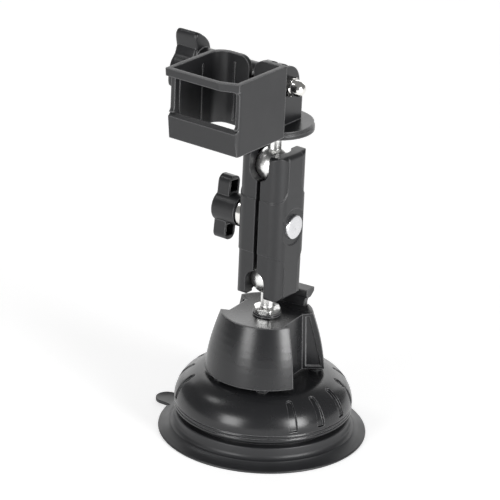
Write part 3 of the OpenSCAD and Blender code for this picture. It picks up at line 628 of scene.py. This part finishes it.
@dataclass
class DomeShell:
    """The dome with its foot rings and its two groups of grip slots, in millimetres and degrees."""

    foot_z: float = 12.0
    band_h: float = 3.6
    outer_r: float = 41.6
    shoulder: float = 14.6
    wall: float = 2.4
    spigot_z: float = 9.4
    spigot_in_r: float = 35.2
    guide_r: float = 8.0
    guide_h: float = 8.4
    hole_r: float = 4.1
    slot_n: int = 5
    slot_pitch: float = 20.5
    slot_turn: float = 7.0
    slot_low: float = 6.0
    slot_high: float = 66.0
    slot_half: tuple[float, float] = (1.95, 1.3)
    slot_depth: float = 1.0
    slot_wall: float = 0.12
    spigot_r: float = 37.4
    bead_n: int = 2
    bead_stand: float = 0.55
    fine_step: float = 0.15
    coarse_step: float = 2.0
    fine_reach: float = 3.6

    def angles(self) -> list[float]:
        """Turns of the skin's columns: close together at the slots, further apart between them."""
        places = [0.0]
        while places[-1] < 360 - self.coarse_step:
            near = min(abs((places[-1] - slot + 180) % 360 - 180) for slot in self.slots())
            step = min(self.coarse_step, max(self.fine_step, near - 3.4))
            places.append(places[-1] + (self.fine_step if near < self.fine_reach else step))
        return places

    def slots(self) -> list[float]:
        """Turns of the slots' middles."""
        middle_slot = (self.slot_n - 1) / 2
        return [(self.slot_turn + side + (i - middle_slot) * self.slot_pitch) % 360
                for side in (0, 180) for i in range(self.slot_n)]

    def dent(self, turn: float, rise: float, radius: float) -> float:
        """How deep the surface lies at a turn, a rise round the shoulder and a radius."""
        off = min(abs((turn - slot + 180) % 360 - 180) for slot in self.slots())
        across = math.radians(off) * radius
        share = (rise - self.slot_low) / (self.slot_high - self.slot_low)
        half = self.slot_half[0] + (self.slot_half[1] - self.slot_half[0]) * min(max(share, 0), 1)
        along = math.radians(rise) * self.shoulder
        low = math.radians(self.slot_low) * self.shoulder + 0.7 * half
        high = math.radians(self.slot_high) * self.shoulder - half
        beyond = max(low - along, along - high, 0)
        gap = max(math.hypot(across, beyond) if along > high else max(across, beyond + 0.3 * half), 0) - half
        share = min(max((self.slot_wall - gap) / (2 * self.slot_wall), 0), 1)
        return self.slot_depth * share * share * (3 - 2 * share)

    def sections(self) -> list[tuple[float, float, float]]:
        """Closed half section as radius, height and rise round the shoulder, or -1 off the shoulder."""
        r, z, t = self.outer_r, self.foot_z, self.wall
        top = z + self.band_h + self.shoulder
        flat_r = r - self.shoulder
        foot = [(self.spigot_r, self.spigot_z), (self.spigot_r, z)]
        rings = []
        half = (self.band_h - 0.1) / self.bead_n / 2
        for i in range(self.bead_n):
            centre = z + (2 * i + 1) * half
            rings += [(r - self.bead_stand * (1 - math.cos(math.radians(a))),
                       centre + half * math.sin(math.radians(a))) for a in range(-90, 91, 15)]
        steps = 90
        shoulder = [(flat_r + self.shoulder * math.cos(math.radians(a)),
                     z + self.band_h + self.shoulder * math.sin(math.radians(a)), a)
                    for a in (90 * i / steps for i in range(steps + 1))]
        inner = [(self.hole_r, top), (self.hole_r, top - self.guide_h), (self.guide_r, top - self.guide_h),
                 (self.guide_r, top - t)]
        inner += arc((flat_r, z + self.band_h), self.shoulder - t, 90, 0, 16)
        inner += [(r - t, z + t), (self.spigot_in_r, z + t), (self.spigot_in_r, self.spigot_z)]
        return [*((a, b, -1.0) for a, b in foot + rings), *shoulder, *((a, b, -1.0) for a, b in inner)]

    def build(self) -> None:
        """Makes the dome and lets it stand for the plain one."""
        angles = self.angles()
        rings = []
        for radius, height, rise in self.sections():
            ring = []
            for turn in angles:
                deep = self.dent(turn, rise, radius) if rise >= 0 else 0.0
                r = radius - deep * math.cos(math.radians(rise))
                z = height - deep * math.sin(math.radians(rise))
                ring.append((r * math.cos(math.radians(turn)), r * math.sin(math.radians(turn)), z))
            rings.append(ring)
        shape = bmesh.new()
        join_rings(shape, rings)
        fit(settle("dome_shell", shape, Matrix.Identity(4), 50), DOME_PLASTIC, "base", "base_dome")


@dataclass
class BaseScrews:
    """Four countersunk screws that hold the tower, in millimetres."""

    head_r: float = 2.7
    shank_r: float = 1.5
    head_low: float = 26.0
    head_t: float = 1.8
    length: float = 9.4
    chamfer: float = 0.3

    def screw(self) -> bpy.types.Object:
        """One screw about the upright axis, its head below."""
        low, neck = self.head_low, self.head_low + self.head_t
        outline = [(0, low), (self.head_r - self.chamfer, low), (self.head_r, low + self.chamfer),
                   (self.head_r, neck - 0.2),
                   (self.shank_r, neck), (self.shank_r, neck + self.length - 0.4),
                   (self.shank_r - 0.4, neck + self.length), (0, neck + self.length)]
        return settle("screw_pattern", turned([outline], steps=32), Matrix.Identity(4))

    def build(self, places: Sequence[Point]) -> None:
        """Sets a screw at each place and lets them stand for the plain ones.

        Args:
            places: Where the screws stand, in millimetres.
        """
        pattern = self.screw()
        tree = NodeTree("screw_tree", {"Size": 1.0})
        model = tree.add("GeometryNodeObjectInfo")
        model.inputs["Object"].default_value = pattern
        spread = tree.add("GeometryNodeInstanceOnPoints")
        tree.link(tree.source, "Geometry", spread, "Points")
        tree.link(model, "Geometry", spread, "Instance")
        tree.link(tree.source, "Size", spread, "Scale")
        tree.close(spread, 0, STEEL.material((0, 0, self.head_low * MM)))
        seed = bpy.data.meshes.new("screw_places")
        seed.from_pydata([Vector(place) * MM for place in places], [], [])
        screws = tree.grow("tower_screws", seed)
        bpy.data.objects.remove(pattern)
        fit(screws, STEEL, "base", "base_screws")


@dataclass
class SuctionBase:
    """Rubber disc, dome, tower and their fastenings."""

    disc: RubberDisc = field(default_factory=RubberDisc)
    dome: DomeShell = field(default_factory=DomeShell)
    screws: BaseScrews = field(default_factory=BaseScrews)
    turn: float = 6.0
    screw_ring_r: float = 23.8
    front_angle: float = 28.0
    rear_x: float = 19.0

    def screw_places(self) -> list[Point]:
        """Feet of the four screws, in millimetres."""
        front = (self.screw_ring_r * math.sin(math.radians(self.front_angle)),
                 -self.screw_ring_r * math.cos(math.radians(self.front_angle)))
        rear = (self.rear_x, math.sqrt(self.screw_ring_r ** 2 - self.rear_x ** 2))
        spin = Matrix.Rotation(math.radians(self.turn), 3, "Z")
        return [tuple(spin @ Vector((side * x, y, 0))) for x, y in (front, rear) for side in (1, -1)]

    def build(self) -> None:
        """Makes the soft disc, the dome and the screws and dresses the rest."""
        self.disc.build()
        self.dome.build()
        self.screws.build(self.screw_places())
        for node, finish in {"tower": TOWER_PLASTIC, "wear_plate": STEEL, "stud_insert": BRASS}.items():
            dress(node, finish)


@dataclass
class LeverWorks:
    """The cam lever with the plunger that it lifts."""

    def build(self) -> None:
        """Dresses the lever and the plunger's pieces."""
        for node, finish in {"cam_lever": LEVER_PLASTIC, "plunger_plate": PLATE_PLASTIC, "plunger_stem": STEEL,
                             "lever_pin": STEEL}.items():
            dress(node, finish)


@dataclass
class BallStud:
    """A satin chromed ball on a neck with a hexagonal flange and a grooved thread, in millimetres."""

    ball_r: float = 8.5
    neck_r: float = 3.2
    flange_r: float = 6.4
    flange_t: float = 2.2
    thread_r: float = 3.0
    thread_len: float = 9.0
    flats: float = 11.6
    turn: float = 14.4

    def build(self, body: str, node: str, height: float, neck: float, place: Axis) -> None:
        """Makes one stud and lets it stand for the plain one, whose flange has only two flats.

        Args:
            body: The body that carries it.
            node: The CAD node that it replaces.
            height: Height of the ball's centre.
            neck: Distance from the ball's centre to the flange.
            place: Which way the ball points.
        """
        start = math.degrees(math.asin(self.neck_r / self.ball_r)) - 90
        fillet = 0.8
        stem = [(0, -neck - 0.2), (self.neck_r + fillet, -neck - 0.2), (self.neck_r + fillet, -neck),
                *arc((self.neck_r + fillet, -neck + fillet), fillet, -90, -180, 4),
                *arc((0, 0), self.ball_r, start, 90, 40)[:-1], (0, self.ball_r)]
        foot = -neck - self.flange_t
        nut = [(0, foot), (self.flange_r - 0.3, foot), (self.flange_r, foot + 0.3), (self.flange_r, -neck - 0.5),
               (self.flange_r - 0.2, -neck - 0.2), (self.flange_r - 0.8, -neck), (0, -neck)]
        thread = [(0, foot - self.thread_len), (self.thread_r - 0.4, foot - self.thread_len)]
        grooves = int(self.thread_len / 0.5)
        for i in range(grooves):
            z = foot - self.thread_len + 0.4 + i * (self.thread_len - 0.5) / grooves
            thread += [(self.thread_r - 0.25, z), (self.thread_r, z + 0.22)]
        thread += [(self.thread_r - 0.1, foot + 0.1), (0, foot + 0.1)]
        shape = turned([stem, thread], steps=144)
        absorb(shape, turned([nut], Hexagon(self.flats, foot, 0, self.turn), 144))
        stud = settle(f"{body}_metal", shape, Matrix.Translation((0, 0, height * MM)) @ place.value, 30)
        fit(stud, SATIN_CHROME, body, node)


@dataclass
class SpreaderSpring:
    """The coil spring between the arm's halves, in millimetres."""

    coil_r: float = 4.4
    wire_r: float = 0.5
    length: float = 8.0
    turns: float = 5.0

    def build(self, height: float) -> None:
        """Winds the spring round the clamp bolt at a height and lets it stand for the plain one."""
        tree = NodeTree("spring_tree", {"Coil Radius": self.coil_r * MM, "Wire Radius": self.wire_r * MM,
                                        "Length": self.length * MM, "Turns": self.turns, "Height": height * MM})
        coil = tree.add("GeometryNodeCurveSpiral", Resolution=28)
        tree.link(tree.source, "Coil Radius", coil, "Start Radius")
        tree.link(tree.source, "Coil Radius", coil, "End Radius")
        tree.link(tree.source, "Length", coil, "Height")
        tree.link(tree.source, "Turns", coil, "Rotations")
        wire = tree.add("GeometryNodeCurvePrimitiveCircle", mode="RADIUS", Resolution=10)
        tree.link(tree.source, "Wire Radius", wire, "Radius")
        sweep = tree.add("GeometryNodeCurveToMesh")
        sweep.inputs["Fill Caps"].default_value = True
        tree.link(coil, "Curve", sweep, "Curve")
        tree.link(wire, "Curve", sweep, "Profile Curve")
        half = tree.add("ShaderNodeMath", operation="MULTIPLY")
        half.inputs[1].default_value = -0.5
        tree.link(tree.source, "Length", half, 0)
        spot = tree.add("ShaderNodeCombineXYZ")
        tree.link(half, 0, spot, "X")
        tree.link(tree.source, "Height", spot, "Z")
        lay = tree.add("GeometryNodeTransform")
        lay.inputs["Rotation"].default_value = (0, math.pi / 2, 0)
        tree.link(sweep, "Mesh", lay, "Geometry")
        tree.link(spot, "Vector", lay, "Translation")
        tree.close(lay, 0, STEEL.material((0, 0, height * MM)))
        seed = bpy.data.meshes.new("spring_start")
        fit(tree.grow("spreader_coil", seed, 60), STEEL, "arm", "spreader_spring")


@dataclass
class BallArm:
    """The two studs, the split arm, its clamp bolt and knob, in millimetres."""

    low_z: float = 77.7
    high_z: float = 132.7
    low_neck: float = 15.3
    high_neck: float = 15.6
    head_x: float = 13.5
    head_low_x: float = 11.0
    head_r: float = 5.6
    shank_r: float = 3.0
    shank_end_x: float = -26.0
    collar_r: float = 6.6
    collar_x: float = -16.0
    collar_len: float = 3.5
    stud: BallStud = field(default_factory=BallStud)
    spring: SpreaderSpring = field(default_factory=SpreaderSpring)

    @property
    def mid_z(self) -> float:
        """Height of the clamp bolt."""
        return (self.low_z + self.high_z) / 2

    def across(self) -> Matrix:
        """Turns an upright piece to lie along X at the clamp bolt's height."""
        return Matrix.Translation((0, 0, self.mid_z * MM)) @ Axis.ACROSS.value

    def bolt(self) -> bpy.types.Object:
        """The clamp bolt with its flat turned head."""
        face = [(0.0, self.head_x - 0.1), (0.5, self.head_x - 0.12), (0.7, self.head_x - 0.02)]
        head = [(0, self.head_low_x), (self.head_r, self.head_low_x), (self.head_r, self.head_x - 0.35),
                (self.head_r - 0.1, self.head_x - 0.12), (self.head_r - 0.35, self.head_x), *reversed(face)]
        shank = [(0, self.shank_end_x), (self.shank_r - 0.4, self.shank_end_x),
                 (self.shank_r, self.shank_end_x + 0.4), (self.shank_r, self.head_low_x + 0.5),
                 (0, self.head_low_x + 0.5)]
        return settle("clamp_bolt_metal", turned([shank, head], steps=96), self.across(), 50)

    def collar(self) -> bpy.types.Object:
        """The bright collar under the knob."""
        low, high, edge = self.collar_x, self.collar_x + self.collar_len, 0.3
        bore = self.shank_r + 0.06
        ring = [(bore, low), (self.collar_r - edge, low), (self.collar_r, low + edge),
                (self.collar_r, high - edge), (self.collar_r - edge, high), (bore, high)]
        return settle("collar_metal", turned([ring], steps=96), self.across(), 30)

    def build(self) -> None:
        """Makes the metal pieces and dresses the mouldings."""
        self.stud.build("lower_stud", "lower_ball_stud", self.low_z, self.low_neck, Axis.UP)
        self.stud.build("upper_stud", "upper_ball_stud", self.high_z, self.high_neck, Axis.DOWN)
        fit(self.bolt(), SPUN_STEEL, "arm", "clamp_bolt")
        fit(self.collar(), CHROME, "grip", "clamp_collar")
        self.spring.build(self.mid_z)
        for node, finish in {"arm_half_bolt_side": ARM_PLASTIC, "arm_half_knob_side": ARM_PLASTIC,
                             "clamp_washer": BLACK_STEEL, "clamp_knob": KNOB_PLASTIC,
                             "knob_insert": BRASS}.items():
            dress(node, finish)


@dataclass
class AcornNut:
    """The bright nut on the pivot bolt, in millimetres."""

    seat_x: float = 5.5
    flats: float = 8.0
    hex_t: float = 4.1
    barrel_t: float = 1.5
    dome_r: float = 3.75
    bore_r: float = 2.53
    bore_end: float = 5.4
    height: float = 171.5
    turn: float = 30.0

    def build(self) -> None:
        """Makes the nut and lets it stand for the plain one."""
        corner = self.flats / math.sqrt(3)
        round_x = self.hex_t + self.barrel_t
        outline = [(self.bore_r, 0.2), (self.bore_r + 0.2, 0), (corner - 0.45, 0), (corner, 0.3),
                   (corner, self.hex_t - 0.35), (self.dome_r + 0.1, self.hex_t), (self.dome_r, self.hex_t + 0.1),
                   *arc((0, round_x), self.dome_r, 0, 90, 20)[:-1], (0, round_x + self.dome_r),
                   (0, self.bore_end), (self.bore_r, self.bore_end)]
        shape = turned([outline], Hexagon(self.flats, -1, self.hex_t, self.turn), 120)
        place = Matrix.Translation((self.seat_x * MM, 0, self.height * MM)) @ Axis.ACROSS.value
        fit(settle("acorn_nut_metal", shape, place, 30), CHROME, "head", "acorn_nut")


@dataclass
class LobedKnob:
    """The long knob: the solid's lobes with soft rims, on a round neck, in millimetres."""

    node: str = "sleeve_knob"
    height: float = 171.5
    lobe_w: float = 12.4
    neck_r: float = 6.8
    outer_soft: float = 2.2
    inner_soft: float = 1.4
    steps: int = 7

    def outline(self, end: float) -> list[tuple[float, float]]:
        """Turn and radius of the lobes' corners, read from the solid's outer end in order round it."""
        points = (v.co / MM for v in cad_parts[self.node].data.vertices if abs(v.co.x / MM - end) < 0.01)
        places = {(round(math.atan2(p.z - self.height, p.y), 4), round(math.hypot(p.y, p.z - self.height), 3))
                  for p in points}
        return sorted(places)

    def build(self) -> None:
        """Makes the knob and lets it stand for the plain one."""
        low, high = (corner / MM for corner in box_of(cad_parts[self.node]))
        lobes = self.outline(low.x)
        stations = []
        for x, soft, side in ((low.x, self.outer_soft, 1), (low.x + self.lobe_w, self.inner_soft, -1)):
            turns = [math.pi / 2 * i / self.steps for i in range(self.steps + 1)]
            stations.append([(x + side * soft * (1 - math.sin(a)), soft * (1 - math.cos(a)))
                             for a in reversed(turns)])
        shape = bmesh.new()
        rings = [[shape.verts.new(Vector((x, (r - inset) * math.cos(a),
                                          self.height + (r - inset) * math.sin(a))) * MM)
                  for a, r in lobes] for x, inset in [*stations[0], *reversed(stations[1])]]
        for one, two in zip(rings, rings[1:]):
            for i in range(len(lobes)):
                j = (i + 1) % len(lobes)
                shape.faces.new((one[i], one[j], two[j], two[i]))
        shape.faces.new(rings[0])
        shape.faces.new(rings[-1])
        neck = turned([[(0, low.x + self.lobe_w / 2), (self.neck_r, low.x + self.lobe_w / 2),
                        (self.neck_r, high.x - 0.4), (self.neck_r - 0.4, high.x), (0, high.x)]], steps=96)
        neck.transform(Matrix.Translation((0, 0, self.height * MM)) @ Axis.ACROSS.value)
        absorb(shape, neck)
        fit(settle("lobed_knob", shape, Matrix.Identity(4), 40), KNOB_PLASTIC, "head_knob", self.node)


@dataclass
class SleeveRibs:
    """Shallow upright ribs inside the sleeve that grip the camera, in millimetres."""

    wall_x: tuple[float, float] = (-18.0, 15.4)
    side_y: tuple[float, float] = (-48.5, -32.3)
    back_y: float = -20.4
    back_x: tuple[float, float] = (-9.3, 9.3)
    low_z: float = 156.5
    high_z: float = 184.5
    width: float = 1.3
    stand: float = 0.45

    def rib(self) -> bpy.types.Object:
        """One rib about the upright axis with soft edges, standing out towards +X."""
        half, soft = self.width / 2, 0.25
        outline = [(-0.15, -half), (self.stand - soft, -half), (self.stand - 0.07, -half + 0.07),
                   (self.stand, -half + soft), (self.stand, half - soft), (self.stand - 0.07, half - 0.07),
                   (self.stand - soft, half), (-0.15, half)]
        low, high = self.low_z, self.high_z
        steps = [(low, 0.0), (low + 1.2, 1.0), (high - 1.2, 1.0), (high, 0.0)]
        shape = bmesh.new()
        rings = [[shape.verts.new(Vector((x * share if x > 0 else x, y, z)) * MM) for x, y in outline]
                 for z, share in steps]
        for lower, upper in zip(rings, rings[1:]):
            for i in range(len(outline)):
                j = (i + 1) % len(outline)
                shape.faces.new((lower[i], lower[j], upper[j], upper[i]))
        shape.faces.new(rings[0])
        shape.faces.new(rings[-1])
        bmesh.ops.remove_doubles(shape, verts=shape.verts, dist=0.0005 * MM)
        return settle("rib_pattern", shape, Matrix.Identity(4))

    def build(self) -> None:
        """Sets the ribs round the inside of the sleeve."""
        spots = [(self.wall_x[0], y, 0.0) for y in self.side_y]
        spots += [(self.wall_x[1], y, math.pi) for y in self.side_y]
        spots += [(x, self.back_y, -math.pi / 2) for x in self.back_x]
        pattern = self.rib()
        tree = NodeTree("rib_tree", {"Size": 1.0})
        model = tree.add("GeometryNodeObjectInfo")
        model.inputs["Object"].default_value = pattern
        turn = tree.add("GeometryNodeInputNamedAttribute", data_type="FLOAT_VECTOR")
        turn.inputs["Name"].default_value = "turn"
        aim = tree.add("FunctionNodeEulerToRotation")
        tree.link(turn, "Attribute", aim, 0)
        spread = tree.add("GeometryNodeInstanceOnPoints")
        tree.link(tree.source, "Geometry", spread, "Points")
        tree.link(model, "Geometry", spread, "Instance")
        tree.link(aim, 0, spread, "Rotation")
        tree.link(tree.source, "Size", spread, "Scale")
        tree.close(spread, 0, HEAD_PLASTIC.material((0, 0, self.low_z * MM)))
        seed = bpy.data.meshes.new("rib_places")
        seed.from_pydata([Vector((x, y, 0)) * MM for x, y, _ in spots], [], [])
        turns = seed.attributes.new("turn", "FLOAT_VECTOR", "POINT")
        for item, spot in zip(turns.data, spots):
            item.vector = (0, 0, spot[2])
        ribs = tree.grow("sleeve_ribs", seed)
        bpy.data.objects.remove(pattern)
        fit(ribs, HEAD_PLASTIC, "sleeve")


@dataclass
class CameraHead:
    """The adapter, its pivot bolt, nut and knob, and the sleeve."""

    nut: AcornNut = field(default_factory=AcornNut)
    knob: LobedKnob = field(default_factory=LobedKnob)
    ribs: SleeveRibs = field(default_factory=SleeveRibs)

    def build(self) -> None:
        """Makes the nut, the knob and the ribs and dresses the rest."""
        self.nut.build()
        self.knob.build()
        self.ribs.build()
        for node, finish in {"adapter": HEAD_PLASTIC, "camera_sleeve": SLEEVE_PLASTIC,
                             "adapter_insert": BRASS, "pivot_bolt": STEEL, "pivot_washer": STEEL}.items():
            dress(node, finish)


# Studio


@dataclass
class Camera:
    """The camera of the photograph, fitted to the object's known sizes."""

    azimuth: float = 35.365
    distance: float = 1321.16
    height: float = 638.07
    yaw: float = 0.3959
    pitch: float = 22.536
    roll: float = 2.522
    focal_px: float = 3121.2
    frame_px: float = 500.0
    sensor: float = 36.0

    def build(self) -> None:
        """Makes the camera and sets it as the scene's."""
        data = bpy.data.cameras.new("photo_camera")
        data.sensor_width = self.sensor
        data.lens = self.focal_px / self.frame_px * self.sensor
        data.clip_start, data.clip_end = 0.05, 50
        camera = bpy.data.objects.new("photo_camera", data)
        bpy.context.scene.collection.objects.link(camera)
        turn = math.radians(self.azimuth)
        aim, dip, roll = math.radians(self.azimuth + self.yaw), math.radians(self.pitch), math.radians(self.roll)
        ahead = Vector((-math.sin(aim) * math.cos(dip), math.cos(aim) * math.cos(dip), -math.sin(dip)))
        level = ahead.cross(Vector((0, 0, 1))).normalized()
        up = level.cross(ahead)
        right = level * math.cos(roll) + up * math.sin(roll)
        top = up * math.cos(roll) - level * math.sin(roll)
        rotation = Matrix((right, top, -ahead)).transposed().to_4x4()
        spot = Vector((self.distance * math.sin(turn), -self.distance * math.cos(turn), self.height)) * MM
        camera.matrix_world = Matrix.Translation(spot) @ rotation
        bpy.context.scene.camera = camera


@dataclass
class SoftBox:
    """An upright soft light that faces the object, in metres and degrees."""

    name: str
    azimuth: float
    distance: float
    height: float
    width: float
    tall: float
    power: float

    def build(self, aim: Point) -> None:
        """Hangs the light.

        Args:
            aim: The point that it faces.
        """
        data = bpy.data.lights.new(self.name, "AREA")
        data.shape = "RECTANGLE"
        data.size, data.size_y = self.width, self.tall
        data.energy = self.power
        light = bpy.data.objects.new(self.name, data)
        bpy.context.scene.collection.objects.link(light)
        turn = math.radians(self.azimuth)
        spot = Vector((self.distance * math.sin(turn), -self.distance * math.cos(turn), self.height))
        light.location = spot
        light.rotation_mode = "QUATERNION"
        light.rotation_quaternion = (Vector(aim) - spot).to_track_quat("-Z", "Y")


@dataclass
class Studio:
    """A pale floor and soft lights round the object."""

    floor_half: float = 4.0
    floor_colour: Colour = (0.8, 0.8, 0.8)
    floor_glow: float = 0.52
    world_strength: float = 0.2
    aim: Point = (0, 0, 0.09)
    boxes: tuple[SoftBox, ...] = (
        SoftBox("left_light", -4, 1.2, 0.36, 0.5, 0.62, 7.6),
        SoftBox("right_light", 80, 1.2, 0.36, 0.44, 0.62, 12.6),
        SoftBox("upper_light", -62, 1.0, 1.2, 0.34, 0.34, 1.8),
        SoftBox("backdrop", 215, 2.2, 0.75, 3.6, 1.5, 27),
    )

    def floor(self) -> None:
        """Lays the pale floor."""
        half = self.floor_half
        mesh = bpy.data.meshes.new("studio_floor")
        corners = [(-half, -half, 0), (half, -half, 0), (half, half, 0), (-half, half, 0)]
        mesh.from_pydata(corners, [], [(0, 1, 2, 3)])
        floor = bpy.data.objects.new("studio_floor", mesh)
        bpy.context.scene.collection.objects.link(floor)
        board = NodeBoard("pale_floor")
        board.shader.inputs["Base Color"].default_value = (*self.floor_colour, 1)
        board.shader.inputs["Roughness"].default_value = 0.8
        board.shader.inputs["Emission Color"].default_value = (1, 1, 1, 1)
        board.shader.inputs["Emission Strength"].default_value = self.floor_glow
        mesh.materials.append(board.material)

    def build(self) -> None:
        """Sets the world, the floor and the lights."""
        world = bpy.data.worlds.new("studio_world")
        world.use_nodes = True
        backdrop = world.node_tree.nodes["Background"]
        backdrop.inputs["Color"].default_value = (1, 1, 1, 1)
        backdrop.inputs["Strength"].default_value = self.world_strength
        bpy.context.scene.world = world
        bpy.context.scene.view_settings.view_transform = "Standard"
        self.floor()
        for box in self.boxes:
            box.build(self.aim)


def main() -> None:
    """Builds the camera, the studio and every sub-assembly in order."""
    logging.basicConfig(level=logging.INFO, format="%(message)s")
    parts = (Camera(), Studio(), SuctionBase(), LeverWorks(), BallArm(), CameraHead())
    for part in parts:
        LOG.info("%s", type(part).__name__)
        part.build()


if __name__ == "__main__":
    main()
